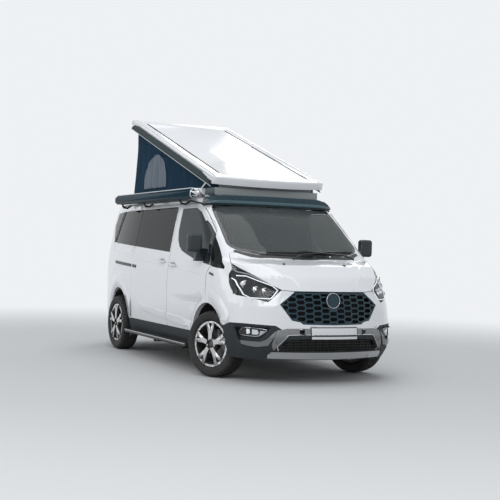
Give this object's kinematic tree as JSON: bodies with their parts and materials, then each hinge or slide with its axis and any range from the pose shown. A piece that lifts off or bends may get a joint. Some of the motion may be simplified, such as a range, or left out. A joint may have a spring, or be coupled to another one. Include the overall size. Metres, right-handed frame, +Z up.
{
  "type": "camper van with lifting roof",
  "caption": "White panel-van camper with a front-hinged lifting roof and canvas, side awning case, sliding side door, opening doors, bonnet and tailgate, and steered wheels.",
  "frame": {"origin": "on the ground, at the middle of the overall length and width", "axes": "+X forward, +Y to the van's left, +Z up"},
  "size_m": [4.973, 2.28, 3.028],
  "materials": {
    "white_paint": "gloss",
    "chassis_steel": "satin",
    "dark_plastic": "grained",
    "seat_fabric": "woven",
    "cabinet_wood": "satin",
    "clear_glass": "polished",
    "dark_glass": "polished",
    "silver_trim": "satin",
    "grille_plastic": "satin",
    "lamp_lens": "polished",
    "tail_lens": "polished",
    "teal_case": "satin",
    "canvas_cloth": "woven",
    "wheel_alloy": "machined",
    "tyre_rubber": "matte"
  },
  "bodies": {
    "van": {"floor_pan": "chassis_steel", "body_hoops": "chassis_steel", "body_side_left": "white_paint", "body_side_right": "white_paint", "roof_panel": "white_paint", "wings": "white_paint", "cowl_panel": "dark_plastic", "sill_trims": "dark_plastic", "dashboard": "dark_plastic", "steering_wheel": "dark_plastic", "front_seats": "seat_fabric", "rear_bench": "seat_fabric", "kitchen_unit": "cabinet_wood", "windscreen": "clear_glass", "side_glass": "dark_glass", "sliding_door": "white_paint", "front_bumper": "white_paint", "bumper_cladding": "dark_plastic", "skid_plate": "silver_trim", "grille": "grille_plastic", "headlamps": "lamp_lens", "rear_bumper": "white_paint", "tail_lamps": "tail_lens", "side_steps": "dark_plastic", "arch_liners": "dark_plastic", "awning_case": "teal_case", "roof_frame": "teal_case", "canvas": "canvas_cloth", "front_subframe": "chassis_steel", "rear_axle": "chassis_steel", "engine_block": "chassis_steel", "fuel_tank": "chassis_steel", "exhaust": "chassis_steel"},
    "knuckle_left": {"knuckle_left": "chassis_steel"},
    "knuckle_right": {"knuckle_right": "chassis_steel"},
    "door_left": {"door_left": "white_paint", "door_glass_left": "clear_glass", "mirror_left": "dark_plastic"},
    "door_right": {"door_right": "white_paint", "door_glass_right": "clear_glass", "mirror_right": "dark_plastic"},
    "bonnet": {"bonnet": "white_paint"},
    "tailgate": {"tailgate": "white_paint", "tailgate_glass": "dark_glass"},
    "lid_arms": {"lid_arms": "silver_trim"},
    "lid": {"lid": "white_paint"},
    "wheel_front_left": {"rim_front_left": "wheel_alloy", "tyre_front_left": "tyre_rubber"},
    "wheel_front_right": {"rim_front_right": "wheel_alloy", "tyre_front_right": "tyre_rubber"},
    "wheel_rear_left": {"rim_rear_left": "wheel_alloy", "tyre_rear_left": "tyre_rubber"},
    "wheel_rear_right": {"rim_rear_right": "wheel_alloy", "tyre_rear_right": "tyre_rubber"}
  },
  "joints": [
    {"name": "steer_left", "type": "hinge", "parent": "van", "child": "knuckle_left", "pos_m": [1.493, 0.77, 0.344], "axis": [0, 0, 1], "range_deg": [-57, 15]},
    {"name": "steer_right", "type": "hinge", "parent": "van", "child": "knuckle_right", "pos_m": [1.493, -0.77, 0.344], "axis": [0, 0, 1], "range_deg": [-57, 15]},
    {"name": "spin_front_left", "type": "hinge", "parent": "knuckle_left", "child": "wheel_front_left", "pos_m": [1.45716, 0.86336, 0.344], "axis": [-0.3584, 0.9336, 0], "continuous": true},
    {"name": "spin_front_right", "type": "hinge", "parent": "knuckle_right", "child": "wheel_front_right", "pos_m": [1.52884, -0.86336, 0.344], "axis": [-0.3584, 0.9336, 0], "continuous": true},
    {"name": "spin_rear_left", "type": "hinge", "parent": "van", "child": "wheel_rear_left", "pos_m": [-1.44, 0.87, 0.344], "axis": [0, 1, 0], "continuous": true},
    {"name": "spin_rear_right", "type": "hinge", "parent": "van", "child": "wheel_rear_right", "pos_m": [-1.44, -0.87, 0.344], "axis": [0, 1, 0], "continuous": true},
    {"name": "door_left_hinge", "type": "hinge", "parent": "van", "child": "door_left", "pos_m": [1.475, 0.968, 1], "axis": [0, 0, -1], "range_deg": [0, 65]},
    {"name": "door_right_hinge", "type": "hinge", "parent": "van", "child": "door_right", "pos_m": [1.475, -0.968, 1], "axis": [0, 0, 1], "range_deg": [0, 65]},
    {"name": "bonnet_hinge", "type": "hinge", "parent": "van", "child": "bonnet", "pos_m": [1.6, 0, 1.33], "axis": [0, -1, 0], "range_deg": [0, 50]},
    {"name": "tailgate_hinge", "type": "hinge", "parent": "van", "child": "tailgate", "pos_m": [-2.338, 0, 1.879], "axis": [0, 1, 0], "range_deg": [0, 85]},
    {"name": "lid_arm_hinge", "type": "hinge", "parent": "van", "child": "lid_arms", "pos_m": [0.51671, 0, 2.003], "axis": [0, 1, 0], "range_deg": [0, 25.38]},
    {"name": "lid_hinge", "type": "hinge", "parent": "lid_arms", "child": "lid", "pos_m": [0.78775, 0, 2.1316], "axis": [0, 1, 0], "range_deg": [-43.58, 0], "deforming": ["canvas"]}
  ],
  "couplings": [
    {"joint": "steer_right", "follows": "steer_left", "ratio": 1},
    {"joint": "lid_arm_hinge", "follows": "lid_hinge", "ratio": -0.58241}
  ]
}
